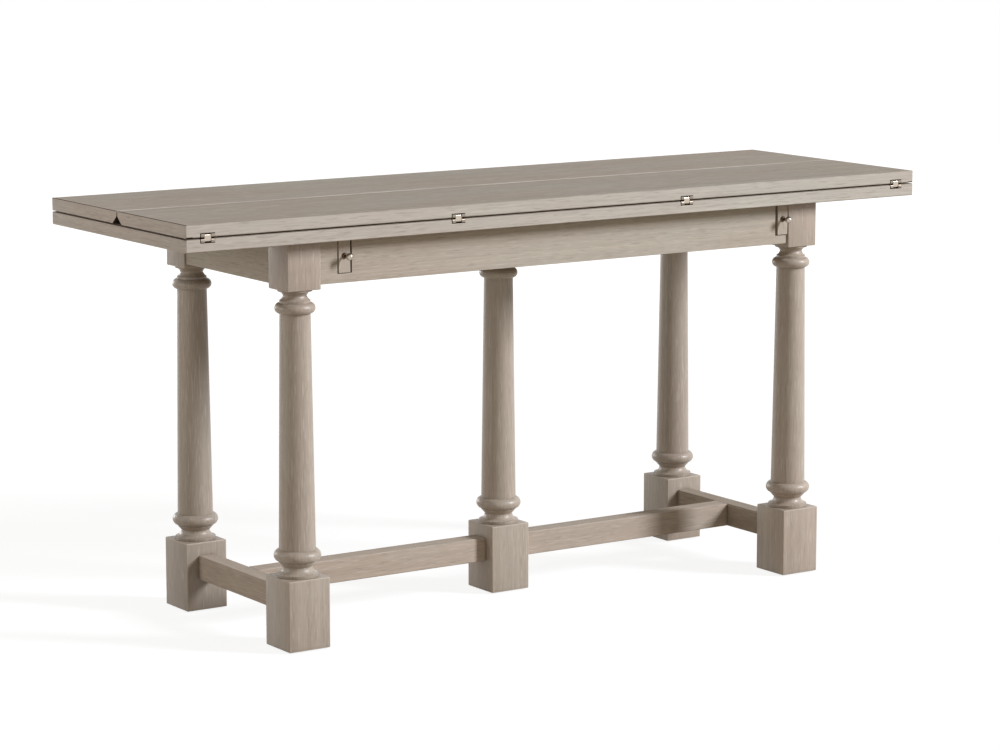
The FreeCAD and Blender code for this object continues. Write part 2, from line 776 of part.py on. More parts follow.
upside_down = FreeCAD.Rotation(Vector(0, 1, 0), 180)
plate = hinge_plate()
link = hinge_link()
screw = hinge_screw()
pin = cylinder("hinge_pin", (d.pin_end_inset - hinge_half, 0, 0), d.pin_radius,
               d.hinge_width - 2 * d.pin_end_inset, along_x)


def hinge_set(side_name, way):
    """The hinges of one leaf; way is 1 for the front edge, where inward is +Y, and -1 for the back edge."""
    turn = no_turn if way > 0 else half_turn
    turned_over = turn.multiply(upside_down)
    edge = -way * half_depth
    pin_y = edge + way * pin_inset
    base_pin = top_surface - pin_depth
    leaf_pin = leaf_bottom + pin_depth
    spots = [(x, edge + way * spot) for x in hinge_places for spot in screw_spots]
    groups = {
        "hinge_base_plates": (plate, [at(x, edge, top_surface - knuckle_height, turn) for x in hinge_places]),
        "hinge_leaf_plates": (plate, [at(x, edge, leaf_bottom + knuckle_height, turned_over)
                                      for x in hinge_places]),
        "hinge_links": (link, [at(x, pin_y, base_pin) for x in hinge_places]),
        "hinge_base_pins": (pin, [at(x, pin_y, base_pin) for x in hinge_places]),
        "hinge_leaf_pins": (pin, [at(x, pin_y, leaf_pin) for x in hinge_places]),
        "hinge_base_screws": (screw, [at(x, y, top_surface) for x, y in spots]),
        "hinge_leaf_screws": (screw, [at(x, y, leaf_bottom, upside_down) for x, y in spots]),
    }
    for group_name, (piece, places) in groups.items():
        copies(f"{side_name}_{group_name}", piece, places)


hinge_set("front", 1)
hinge_set("back", -1)


# The fixed top and the leaves

def hinge_mortises(name, surface, down):
    """Cuts for one edge's hinges: Y runs in from the edge, down is -1 below a surface and 1 above one."""
    plate_reach = d.hinge_plate_length + d.mortise_clearance
    knuckle_floor = knuckle_height + d.mortise_floor_gap
    recesses = {
        "plate": (d.mortise_clearance, d.mortise_clearance, plate_reach, d.hinge_plate_thickness),
        "knuckle": (d.mortise_wide_gap, d.mortise_tight_gap, knuckle_depth, knuckle_floor),
    }
    tools = []
    for index, x in enumerate(hinge_places):
        for cut_name, (left_gap, right_gap, reach, depth) in recesses.items():
            levels = [surface - down * past, surface + down * depth]
            low, high = levels if down > 0 else levels[::-1]
            tools.append(box(f"{name}_{cut_name}_{index}", (x - hinge_half - left_gap, -past, low),
                             (x + hinge_half + right_gap, reach, high)))
        for number, spot in enumerate(screw_spots):
            foot = surface - d.hinge_screw_length - d.screw_clearance if down < 0 else surface
            tools.append(cylinder(f"{name}_pilot_{index}_{number}", (x, spot, foot),
                                  d.hinge_screw_radius + d.screw_clearance,
                                  d.hinge_screw_length + d.screw_clearance))
    return fuse(name, tools)


def board(name, corners, bulges):
    """A board of one section, along the whole table."""
    body = body_of(name)
    section = sketch_on(body, f"{name}_section", "YZ_Plane")
    draw_outline(section, corners, bulges)
    pad(body, section, f"{name}_pad", d.table_length, both_ways=True)
    return body


def leaf(label, way):
    """Its own Y runs in from the hinged edge and its own Z up from the lower face."""
    width = half_depth - d.seam_gap / 2
    thick = d.board_thickness
    blank = board(f"{label}_board", [
        (d.hinge_arris, 0),
        (width - d.groove_width, 0),
        (width, d.groove_height),
        (width, thick - d.seam_round),
        (width - d.seam_round, thick),
        (d.edge_round, thick),
        (0, thick - d.edge_round),
        (0, d.hinge_arris),
    ], {3: quarter_rise * d.seam_round, 5: quarter_rise * d.edge_round, 7: quarter_rise * d.hinge_arris})
    flap = cut(label, blank, [hinge_mortises(f"{label}_mortises", as_size(0), 1)])
    place(flap, (0, -way * half_depth, leaf_bottom), no_turn if way > 0 else half_turn)
    return node(flap, label)


leaf("front_leaf", 1)
leaf("back_leaf", -1)

# Cleats run between the cross rail and the guide strips, with a screw near each end
cleat_start = rail_half + d.cleat_rail_gap
cleat_end = strip_inner_x - d.cleat_end_gap
cleat_bottom = underside - d.cleat_width
cleat_line = apron_inner_y - d.cleat_width / 2
cleat_screw_ends = (cleat_start + d.cleat_screw_inset, cleat_end - d.cleat_screw_inset)
cleat_screw_spots = [(side * x, way * cleat_line) for way in (-1, 1) for side in (-1, 1)
                     for x in cleat_screw_ends]
cleat_screw_bore = d.cleat_screw_radius + d.screw_clearance


def fixed_top():
    thick = d.board_thickness
    blank = board("fixed_top_board", [
        (d.edge_round, 0),
        (d.table_depth - d.edge_round, 0),
        (d.table_depth, d.edge_round),
        (d.table_depth, thick - d.hinge_arris),
        (d.table_depth - d.hinge_arris, thick),
        (d.hinge_arris, thick),
        (0, thick - d.hinge_arris),
        (0, d.edge_round),
    ], {1: quarter_rise * d.edge_round, 3: quarter_rise * d.hinge_arris, 5: quarter_rise * d.hinge_arris,
        7: quarter_rise * d.edge_round})
    front_cuts = hinge_mortises("top_front_mortises", thick, -1)
    back_cuts = hinge_mortises("top_back_mortises", thick, -1)
    place(back_cuts, (0, d.table_depth, 0), half_turn)
    reach = d.cleat_screw_length - d.cleat_width
    pilots = [cylinder(f"top_pilot_{index}", (x, half_depth + y, -past), cleat_screw_bore,
                       reach + d.screw_clearance + past)
              for index, (x, y) in enumerate(cleat_screw_spots)]
    top = cut("fixed_top", blank, [front_cuts, back_cuts, *pilots])
    place(top, (0, -half_depth, underside))
    return node(top, "fixed_top")


fixed_top()


# Cleats in the corner between apron and fixed top, with their screws

def cleat(label, side, way):
    ends = [side * cleat_start, side * cleat_end]
    faces = [way * apron_inner_y, way * (apron_inner_y - d.cleat_width)]
    low_x, high_x = ends if side > 0 else ends[::-1]
    low_y, high_y = faces if way < 0 else faces[::-1]
    bar = box(f"{label}_bar", (low_x, low_y, cleat_bottom), (high_x, high_y, underside))
    bores = [cylinder(f"{label}_bore_{index}", (side * x, way * cleat_line, cleat_bottom - past),
                      cleat_screw_bore, d.cleat_width + 2 * past)
             for index, x in enumerate(cleat_screw_ends)]
    return node(cut(label, bar, bores), label)


for way_name, way in (("front", -1), ("back", 1)):
    for side_name, side in (("left", -1), ("right", 1)):
        cleat(f"{way_name}_{side_name}_cleat", side, way)

cleat_screw = fuse("cleat_screw", [
    cylinder("cleat_screw_cap", (0, 0, -d.cleat_screw_head_height), d.cleat_screw_head,
             d.cleat_screw_head_height),
    cylinder("cleat_screw_shank", (0, 0, 0), d.cleat_screw_radius, d.cleat_screw_length),
])
copies("cleat_screws", cleat_screw, [at(x, y, cleat_bottom) for x, y in cleat_screw_spots])

# Bumper dots on the fixed top, under the inner edges of the leaves
bumper = cylinder("bumper", (0, 0, 0), d.bumper_radius, d.layer_gap - d.bumper_clearance)
copies("leaf_bumpers", bumper, [at(shift * d.bumper_spacing, way * d.bumper_offset, top_surface)
                                for shift in (-1, 0, 1) for way in (-1, 1)])

doc.recompute()
failed = [thing.Label for thing in doc.Objects if {"Invalid", "Error"} & set(thing.State)]
failed += [piece.Label for piece in nodes if piece.Shape.isNull() or not piece.Shape.isValid()]
if failed:
    raise RuntimeError(f"these pieces failed: {sorted(set(failed))}")

os.makedirs("parts", exist_ok=True)
for piece in nodes:
    piece.Shape.exportStep(f"parts/{piece.Label}.step")
    print(f"{piece.Label}: {len(piece.Shape.Solids)} solid(s), {piece.Shape.Volume / 1000:.2f} cm3")
print(f"{len(nodes)} nodes written")
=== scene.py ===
import json
import math

import bmesh
import bpy
from mathutils import Matrix, Vector


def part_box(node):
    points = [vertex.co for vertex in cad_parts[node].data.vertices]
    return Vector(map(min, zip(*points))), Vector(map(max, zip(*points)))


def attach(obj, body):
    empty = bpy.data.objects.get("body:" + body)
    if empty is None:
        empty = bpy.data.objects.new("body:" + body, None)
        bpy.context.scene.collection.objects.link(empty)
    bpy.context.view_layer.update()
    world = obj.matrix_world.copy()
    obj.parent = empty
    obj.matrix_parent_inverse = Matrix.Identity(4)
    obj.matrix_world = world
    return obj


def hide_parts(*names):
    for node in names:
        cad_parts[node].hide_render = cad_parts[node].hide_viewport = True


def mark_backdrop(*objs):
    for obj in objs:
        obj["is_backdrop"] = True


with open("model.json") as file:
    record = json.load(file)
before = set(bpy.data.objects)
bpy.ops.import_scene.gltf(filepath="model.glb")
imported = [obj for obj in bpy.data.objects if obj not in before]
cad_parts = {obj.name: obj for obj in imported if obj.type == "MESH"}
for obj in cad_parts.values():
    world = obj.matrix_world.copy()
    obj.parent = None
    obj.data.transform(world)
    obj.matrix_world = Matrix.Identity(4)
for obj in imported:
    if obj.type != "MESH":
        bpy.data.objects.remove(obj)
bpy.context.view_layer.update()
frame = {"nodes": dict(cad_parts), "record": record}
mm = 0.001
bodyOf = {node: body for body, nodes in frame["record"]["behaviour"]["bodies"].items() for node in nodes}
sides = ("front", "back")
ends = ("left", "right")
corners = ("front_left", "front_right", "back_right", "back_left")

mixFactor, mixFirst, mixSecond, mixResult = 0, 6, 7, 2  # sockets of a Mix node that mixes colours
randomMost, randomValue = 3, 1  # sockets of a Random Value node that gives floats


def linear(hexText):  # sRGB hex to linear colour
    shares = [int(hexText[i:i + 2], 16) / 255 for i in (1, 3, 5)]
    return (*[s / 12.92 if s <= 0.04045 else ((s + 0.055) / 1.055) ** 2.4 for s in shares], 1)


def addNode(tree, kind, inputs=None, **settings):  # one node with its settings, values and links
    made = tree.nodes.new(kind)
    for name, value in settings.items():
        setattr(made, name, value)
    for key, value in (inputs or {}).items():
        if isinstance(value, bpy.types.NodeSocket):
            tree.links.new(value, made.inputs[key])
        else:
            made.inputs[key].default_value = value
    return made


def newMaterial(name):
    material = bpy.data.materials.new(name)
    material.use_nodes = True
    tree = material.node_tree
    tree.nodes.clear()
    return material, tree


def endMaterial(tree, shader):
    addNode(tree, "ShaderNodeOutputMaterial", {"Surface": shader})


# Washed oak: open-pored oak, wire brushed, limed with a greige wash and sealed matt.
# It gives the eye straight fine grain, pale lime in the pores, cloudy patches of wash and a soft sheen.
# A span holds the values of a pattern between which its effect comes in.
oakLook = {
    "pinkWash": "#B9AC9E", "sandWash": "#B5AEA1", "washSpan": (0.35, 0.65),
    "pore": "#82756A", "poreShare": 0.36, "lime": "#D6CEC3", "limeShare": 0.36, "markSpan": (0.56, 0.72),
    # painted shade: colour, share, reach, span and samples of the darkening by ambient occlusion
    "paintedShadeColour": "#5C4C3D", "paintedShadeShare": 0.6, "paintedShadeReach": 0, "paintedShadeSpan": (0.9, 0.3), "paintedShadeSamples": 6,
    "grain": {  # mm along and across the grain, octaves; fibre, pore and lime are drawn coarse to show
        "cloud": (420, 150, 2), "figure": (1500, 20, 2), "streak": (600, 6, 2), "fibre": (200, 2.4, 2),
        "pore": (30, 1.8, 1), "lime": (36, 2.0, 1),
    },
    "octaveShare": 0.55, "layerShift": (17.3, 5.1, 3.7),
    "rise": 1,  # how many times longer the grain is in the third direction than across
    "tones": {"cloud": 0.05, "figure": 0.06, "streak": 0.06, "fibre": 0.06}, "toneSpan": (0.25, 0.75),
    "tone": 1.0, "plank": 104, "plankTone": 0.03,
    "ior": 1.5, "roughness": (0.6, 0.74), "specular": 0.1, "bump": 0.14, "bumpStrength": 0.6,
}
railLook = {**oakLook, "pinkWash": "#B8AD9F", "sandWash": "#B4AFA2", "paintedShadeReach": 6}  # painted shade at the joints
stretcherLook = {**railLook, "pinkWash": "#BAAB9C", "sandWash": "#B6AC9F", "tone": 0.95}
shadedStretcherLook = {**stretcherLook, "pinkWash": "#BBA998", "sandWash": "#B7AA9B", "tone": 0.78}  # darker: painted shade on the right end stretcher
shadedTopLook = {**oakLook, "tone": 0.79}  # darker: painted shade on the boards' broad faces
endLook = {**oakLook, "pinkWash": "#B8ABA1", "sandWash": "#B4ADA4"}  # end grain is greyer
litEdgeLook = {**oakLook, "pinkWash": "#B9B0A6", "sandWash": "#B5B1A7", "tone": 1.06}  # paler: painted light on the long edges, in a more neutral wash
legLook = {**oakLook, "pinkWash": "#BBAB9C", "sandWash": "#B7AD9E", "paintedShadeReach": 10,
           "tones": {"cloud": 0.08, "figure": 0.08, "streak": 0.06, "fibre": 0.04},
           "roughness": (0.34, 0.46), "specular": 0.45}  # smoother, with painted shade in the coves
loperLook = {**oakLook, "rise": 14}  # upright lines on the end faces
grainTurns = {"long": (0, 0, 0), "cross": (0, 0, -90), "upright": (0, 90, 0)}  # degrees


def washedOak(name, grainWay, look, planks=False):
    material, tree = newMaterial(name)
    place = addNode(tree, "ShaderNodeTexCoord").outputs["Object"]
    turn = [math.radians(a) for a in grainTurns[grainWay]]
    wood = addNode(tree, "ShaderNodeMapping", {"Vector": place, "Rotation": turn}).outputs[0]
    layer = {}
    for number, (part, (along, across, octaves)) in enumerate(look["grain"].items()):
        scale = [1 / (length * mm) for length in (along, across, across * look["rise"])]
        shift = [step * number for step in look["layerShift"]]
        spread = addNode(tree, "ShaderNodeMapping", {"Vector": wood, "Scale": scale, "Location": shift})
        layer[part] = addNode(tree, "ShaderNodeTexNoise", {
            "Vector": spread.outputs[0], "Scale": 1.0, "Detail": octaves, "Roughness": look["octaveShare"],
        }).outputs["Fac"]
    low, high = look["washSpan"]
    mixed = addNode(tree, "ShaderNodeMapRange", {"Value": layer["cloud"], "From Min": low, "From Max": high})
    colour = addNode(tree, "ShaderNodeMix", {
        mixFactor: mixed.outputs[0], mixFirst: linear(look["pinkWash"]), mixSecond: linear(look["sandWash"]),
    }, data_type="RGBA").outputs[mixResult]
    low, high = look["toneSpan"]
    tones = [addNode(tree, "ShaderNodeMapRange", {
        "Value": layer[part], "From Min": low, "From Max": high, "To Min": 1 - depth, "To Max": 1 + depth,
    }).outputs[0] for part, depth in look["tones"].items()]
    if planks:  # glued-up boards, each a little lighter or darker
        split = addNode(tree, "ShaderNodeSeparateXYZ", {0: wood})
        count = addNode(tree, "ShaderNodeMath", {0: split.outputs["Y"], 1: 1 / (look["plank"] * mm)},
                        operation="MULTIPLY")
        plank = addNode(tree, "ShaderNodeMath", {0: count.outputs[0]}, operation="FLOOR")
        chance = addNode(tree, "ShaderNodeTexWhiteNoise", {"W": plank.outputs[0]}, noise_dimensions="1D")
        depth = look["plankTone"]
        tones.append(addNode(tree, "ShaderNodeMapRange", {
            "Value": chance.outputs["Value"], "To Min": 1 - depth, "To Max": 1 + depth,
        }).outputs[0])
    for value in [look["tone"], *tones]:
        toned = addNode(tree, "ShaderNodeVectorMath", {0: colour, "Scale": value}, operation="SCALE")
        colour = toned.outputs[0]
    low, high = look["markSpan"]
    marks = {}
    for part in ("pore", "lime"):
        marks[part] = addNode(tree, "ShaderNodeMapRange", {
            "Value": layer[part], "From Min": low, "From Max": high, "To Max": look[part + "Share"],
        }).outputs[0]
        colour = addNode(tree, "ShaderNodeMix", {
            mixFactor: marks[part], mixFirst: colour, mixSecond: linear(look[part]),
        }, data_type="RGBA").outputs[mixResult]
    if look["paintedShadeReach"]:  # painted shade: darker in coves, corners and joints, found by ambient occlusion, towards a dark glaze colour
        nook = addNode(tree, "ShaderNodeAmbientOcclusion", {"Distance": look["paintedShadeReach"] * mm},
                       samples=look["paintedShadeSamples"])
        low, high = look["paintedShadeSpan"]
        held = addNode(tree, "ShaderNodeMapRange", {
            "Value": nook.outputs["AO"], "From Min": low, "From Max": high, "To Max": look["paintedShadeShare"],
        })
        colour = addNode(tree, "ShaderNodeMix", {
            mixFactor: held.outputs[0], mixFirst: colour, mixSecond: linear(look["paintedShadeColour"]),
        }, data_type="RGBA").outputs[mixResult]
    low, high = look["toneSpan"]
    smooth, rough = look["roughness"]
    dull = addNode(tree, "ShaderNodeMapRange", {
        "Value": layer["fibre"], "From Min": low, "From Max": high, "To Min": smooth, "To Max": rough,
    })
    height = addNode(tree, "ShaderNodeMath", {0: layer["fibre"], 1: marks["pore"]}, operation="SUBTRACT")
    bump = addNode(tree, "ShaderNodeBump", {
        "Strength": look["bumpStrength"], "Distance": look["bump"] * mm, "Height": height.outputs[0],
    })
    shader = addNode(tree, "ShaderNodeBsdfPrincipled", {
        "Base Color": colour, "Roughness": dull.outputs[0], "Normal": bump.outputs[0], "IOR": look["ior"],
        "Specular IOR Level": look["specular"],
    })
    endMaterial(tree, shader.outputs[0])
    return material


# Rubbed oak arris: where the wash is worn thin on the edges, so the limed wood shows paler, with a painted
# highlight along the edge as well.
rubbedAndLitLook = {"tones": ("#C3B8A9", "#AFA294"), "patch": 9, "roughness": 0.55, "specular": 0.25}
# Seam glint: painted highlight on the rounded edges where the leaves meet, in short pale stretches between
# darker ones.
seamGlintLook = {"tones": ("#80746A", "#F3ECE2"), "patch": 90, "roughness": 0.4, "specular": 0.4}
# Dark lines: a brown line along the top edges of the board ends, and painted shade along the gaps between the
# boards and on the seam at the leaf ends.
darkLineAndShadeLook = {"tones": ("#40332A", "#5A4A3E"), "patch": 30, "roughness": 0.7, "specular": 0.15}
# Raw joint: unfinished oak with glue and stain caught in the gap, dark and dull. On the slopes of the finger
# groove the same colour is painted shade.
jointAndShadeLook = {"tones": ("#3A2E23", "#5A4A3B"), "patch": 14, "roughness": 0.85, "specular": 0.1}
# Nylon glide: moulded, slightly rough and dark.
glideLook = {"tones": ("#2B2825", "#3A3632"), "patch": 3, "roughness": 0.5, "specular": 0.5}
# Rubber dot: soft grey rubber with a dusty bloom.
bumperLook = {"tones": ("#3C3A37", "#54514C"), "patch": 2, "roughness": 0.8, "specular": 0.3}
mottling = {"octaves": 3, "bump": 0.1, "bumpStrength": 0.3}  # the same on all of these


def mottled(name, look):  # two tones of one material in soft patches
    material, tree = newMaterial(name)
    place = addNode(tree, "ShaderNodeTexCoord").outputs["Object"]
    patches = addNode(tree, "ShaderNodeTexNoise", {
        "Vector": place, "Scale": 1 / (look["patch"] * mm), "Detail": mottling["octaves"],
    }).outputs["Fac"]
    first, second = [linear(tone) for tone in look["tones"]]
    colour = addNode(tree, "ShaderNodeMix", {mixFactor: patches, mixFirst: first, mixSecond: second},
                     data_type="RGBA")
    bump = addNode(tree, "ShaderNodeBump", {
        "Strength": mottling["bumpStrength"], "Distance": mottling["bump"] * mm, "Height": patches,
    })
    shader = addNode(tree, "ShaderNodeBsdfPrincipled", {
        "Base Color": colour.outputs[mixResult], "Roughness": look["roughness"], "Normal": bump.outputs[0],
        "Specular IOR Level": look["specular"],
    })
    endMaterial(tree, shader.outputs[0])
    return material


# Satin nickel: plated brass, brushed along the hinge and lacquered, so its highlights are broad and warm.
nickelLook = {
    "bright": "#BFB4A6", "dull": "#A99E90", "patch": 6, "octaves": 2,
    "brush": (24, 0.7), "brushSpan": (0.3, 0.7),  # mm along and across a line, drawn coarse to show
    "roughness": (0.26, 0.42), "bump": 0.02, "bumpStrength": 0.15,
}
# Aged nickel: the same plating gone brown and dull where polish doesn't reach.
agedLook = {**nickelLook, "bright": "#9A8E80", "dull": "#7B6F62", "roughness": (0.36, 0.5)}
# Polished nickel: the ball of a knob, handled bright over a grey plating.
polishedLook = {**nickelLook, "bright": "#BDB2A5", "dull": "#A4998C", "patch": 5, "brush": (12, 0.7),
                "roughness": (0.22, 0.34)}
# Bronzed stem: brass browned nearly black under the ball of a knob, darkened further as painted shade where
# the ball shades it.
bronzedShadeLook = {**nickelLook, "bright": "#5A4838", "dull": "#3E3024", "patch": 4, "brush": (12, 0.7),
               "roughness": (0.36, 0.5)}


def satinNickel(name, look):
    material, tree = newMaterial(name)
    place = addNode(tree, "ShaderNodeTexCoord").outputs["Object"]
    along, across = look["brush"]
    scale = [1 / (length * mm) for length in (along, across, across)]
    lines = addNode(tree, "ShaderNodeMapping", {"Vector": place, "Scale": scale})
    brushed = addNode(tree, "ShaderNodeTexNoise", {
        "Vector": lines.outputs[0], "Scale": 1.0, "Detail": look["octaves"],
    }).outputs["Fac"]
    patches = addNode(tree, "ShaderNodeTexNoise", {
        "Vector": place, "Scale": 1 / (look["patch"] * mm), "Detail": look["octaves"],
    }).outputs["Fac"]
    colour = addNode(tree, "ShaderNodeMix", {
        mixFactor: patches, mixFirst: linear(look["dull"]), mixSecond: linear(look["bright"]),
    }, data_type="RGBA")
    low, high = look["brushSpan"]
    smooth, rough = look["roughness"]
    dull = addNode(tree, "ShaderNodeMapRange", {
        "Value": brushed, "From Min": low, "From Max": high, "To Min": smooth, "To Max": rough,
    })
    bump = addNode(tree, "ShaderNodeBump", {
        "Strength": look["bumpStrength"], "Distance": look["bump"] * mm, "Height": brushed,
    })
    shader = addNode(tree, "ShaderNodeBsdfPrincipled", {
        "Base Color": colour.outputs[mixResult], "Metallic": 1.0, "Roughness": dull.outputs[0],
        "Normal": bump.outputs[0],
    })
    endMaterial(tree, shader.outputs[0])
    return material


oakTop = washedOak("washedOakTop", "long", shadedTopLook, planks=True)
oakEdge = washedOak("washedOakEdge", "long", litEdgeLook)
oakEnd = washedOak("washedOakEnd", "cross", endLook)
oakLong = washedOak("washedOakLong", "long", railLook)
oakCross = washedOak("washedOakCross", "cross", railLook)
oakStretcher = washedOak("washedOakStretcher", "long", stretcherLook)
oakEndStretcher = washedOak("washedOakEndStretcher", "cross", stretcherLook)
oakShadedStretcher = washedOak("washedOakShadedStretcher", "cross", shadedStretcherLook)
oakLoper = washedOak("washedOakLoper", "cross", loperLook)
oakUpright = washedOak("washedOakUpright", "upright", legLook)
oakRubbedAndLit = mottled("rubbedAndLitOakArris", rubbedAndLitLook)
oakSeamGlint = mottled("paintedGlintOakSeam", seamGlintLook)
oakDarkLineAndShade = mottled("darkLineAndShadeOakArris", darkLineAndShadeLook)
rawJointAndShade = mottled("rawJointAndShade", jointAndShadeLook)
glideNylon = mottled("glideNylon", glideLook)
bumperRubber = mottled("bumperRubber", bumperLook)
nickel = satinNickel("satinNickel", nickelLook)
agedNickel = satinNickel("agedNickel", agedLook)
polishedNickel = satinNickel("polishedNickel", polishedLook)
bronzedStemShade = satinNickel("bronzedStemShade", bronzedShadeLook)
print("materials made")

weld = 0.005 * mm
creaseAngle = 32  # degrees, sharper edges stay creased in the shading


def newPiece(name, mesh):
    piece = bpy.data.objects.new(name, mesh)
    bpy.context.scene.collection.objects.link(piece)
    return piece


def seat(piece, node):  # the piece takes the node's place and body, and the node is hidden
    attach(piece, bodyOf[node])
    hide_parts(node)
    return piece


def meshFrom(name, points, edges=()):
    mesh = bpy.data.meshes.new(name)
    mesh.from_pydata(points, edges, [])
    return mesh


def meshOf(name, work, finishes=()):  # ends the work on a shape
    mesh = bpy.data.meshes.new(name)
    work.to_mesh(mesh)
    work.free()
    for finish in finishes:
        mesh.materials.append(finish)
    return mesh


def softShading(mesh):
    mesh.shade_smooth()
    mesh.set_sharp_from_angle(angle=math.radians(creaseAngle))


def arcPoints(start, end, bulge, steps):  # from start to end, bulging out by bulge
    start, end = Vector(start), Vector(end)
    chord = end - start
    half = chord.length / 2
    radius = (half ** 2 + bulge ** 2) / (2 * bulge)
    side = Vector((chord.y, -chord.x)).normalized()
    centre = (start + end) / 2 + side * (bulge - radius)
    turn = math.copysign(2 * math.asin(min(1, half / abs(radius))), bulge)
    spoke = start - centre
    points = [tuple(centre + Matrix.Rotation(turn * i / steps, 2) @ spoke) for i in range(1, steps)]
    return [*points, tuple(end)]


def middleAt(low, high, level):  # the middle of a box seen from above, at a level
    return ((low.x + high.x) / 2, (low.y + high.y) / 2, level)


def nodeSpots(node):  # lowest and highest corner of each separate solid of a node
    work = bmesh.new()
    work.from_mesh(frame["nodes"][node].data)
    bmesh.ops.remove_doubles(work, verts=work.verts[:], dist=weld)
    loose, spots = set(work.verts), []
    while loose:
        shell, edge = set(), {loose.pop()}
        while edge:
            shell |= edge
            edge = {e.other_vert(v) for v in edge for e in v.link_edges} - shell
        loose -= shell
        low = Vector([min(v.co[i] for v in shell) for i in range(3)])
        high = Vector([max(v.co[i] for v in shell) for i in range(3)])
        spots.append((low, high))
    work.free()
    return sorted(spots, key=lambda s: tuple(s[0]))


# The lathe: a tree that spins an outline on a small hub, adds blocks, cuts recesses and sets out copies
lathe = {"hub": 1.0, "poleWeld": 0.002}  # mm
latheInputs = {
    "Outline": "Geometry", "Blocks": "Object", "Cuts": "Object", "Places": "Object", "Segments": "Int",
    "Hub": "Float", "Aim": "Float", "Spin": "Float", "Seed": "Int", "Finish": "Material", "Arris": "Material",
}


def turningTree():
    tree = bpy.data.node_groups.new("turning", "GeometryNodeTree")
    for label, kind in latheInputs.items():
        tree.interface.new_socket(label, in_out="INPUT", socket_type="NodeSocket" + kind)
    tree.interface.new_socket("Turned", in_out="OUTPUT", socket_type="NodeSocketGeometry")
    given = addNode(tree, "NodeGroupInput").outputs
    line = addNode(tree, "GeometryNodeMeshToCurve", {"Mesh": given["Outline"]})
    hub = addNode(tree, "GeometryNodeCurvePrimitiveCircle",
                  {"Resolution": given["Segments"], "Radius": given["Hub"]})
    level = addNode(tree, "GeometryNodeSetCurveNormal", {"Curve": hub.outputs[0]}, mode="Z_UP")
    spun = addNode(tree, "GeometryNodeCurveToMesh",
                   {"Curve": level.outputs[0], "Profile Curve": line.outputs[0]})
    closed = addNode(tree, "GeometryNodeMergeByDistance",
                     {"Geometry": spun.outputs[0], "Distance": lathe["poleWeld"] * mm})
    outward = addNode(tree, "GeometryNodeFlipFaces", {"Mesh": closed.outputs[0]})
    shaft = addNode(tree, "GeometryNodeSetMaterial",
                    {"Geometry": outward.outputs[0], "Material": given["Finish"]})
    blocks = addNode(tree, "GeometryNodeObjectInfo", {"Object": given["Blocks"]})
    joined = addNode(tree, "GeometryNodeMeshBoolean", {"Mesh 2": shaft.outputs[0]},
                     operation="UNION", solver="EXACT")
    tree.links.new(blocks.outputs["Geometry"], joined.inputs["Mesh 2"])
    cuts = addNode(tree, "GeometryNodeObjectInfo", {"Object": given["Cuts"]})
    cut = addNode(tree, "GeometryNodeMeshBoolean",
                  {"Mesh 1": joined.outputs[0], "Mesh 2": cuts.outputs["Geometry"]},
                  operation="DIFFERENCE", solver="EXACT")
    places = addNode(tree, "GeometryNodeObjectInfo", {"Object": given["Places"]})
    points = addNode(tree, "GeometryNodeMeshToPoints", {"Mesh": places.outputs["Geometry"]})
    angle = addNode(tree, "FunctionNodeRandomValue", {randomMost: given["Spin"], "Seed": given["Seed"]},
                    data_type="FLOAT")
    aim = addNode(tree, "ShaderNodeCombineXYZ", {"X": given["Aim"], "Z": angle.outputs[randomValue]})
    copies = addNode(tree, "GeometryNodeInstanceOnPoints", {
        "Points": points.outputs[0], "Instance": cut.outputs[0], "Rotation": aim.outputs[0],
    })
    real = addNode(tree, "GeometryNodeRealizeInstances", {"Geometry": copies.outputs[0]})
    rubbedAndLit = addNode(tree, "GeometryNodeMaterialSelection", {"Material": given["Arris"]})
    plain = addNode(tree, "FunctionNodeBooleanMath", {0: rubbedAndLit.outputs[0]}, operation="NOT")
    done = addNode(tree, "GeometryNodeSetMaterial", {
        "Geometry": real.outputs[0], "Selection": plain.outputs[0], "Material": given["Finish"],
    })
    addNode(tree, "NodeGroupOutput", {"Turned": done.outputs[0]})
    return tree


turning = turningTree()
turningInputs = {item.name: item.identifier for item in turning.interface.items_tree
                 if item.in_out == "INPUT"}


def turned(name, outline, spots, finish, segments, blocks=None, cuts=None, aim=0.0, spin=0.0, seed=1):
    line = [((radius - lathe["hub"]) * mm, -height * mm, 0) for radius, height in outline]
    piece = newPiece(name, meshFrom(name, line, [(i, i + 1) for i in range(len(line) - 1)]))
    helpers = {"Places": meshFrom(name + "Places", spots), "Blocks": blocks, "Cuts": cuts}
    helpers = {label: newPiece(name + label, mesh) for label, mesh in helpers.items() if mesh}
    values = {"Segments": segments, "Hub": lathe["hub"] * mm, "Aim": math.radians(aim),
              "Spin": math.radians(spin), "Seed": seed, "Finish": finish, "Arris": oakRubbedAndLit, **helpers}
    modifier = piece.modifiers.new("turning", "NODES")
    modifier.node_group = turning
    for label, value in values.items():
        modifier[turningInputs[label]] = value
    graph = bpy.context.evaluated_depsgraph_get()
    mesh = bpy.data.meshes.new_from_object(piece.evaluated_get(graph))
    piece.modifiers.remove(modifier)
    piece.data = mesh
    for helper in helpers.values():
        bpy.data.objects.remove(helper)
    softShading(mesh)
    return piece


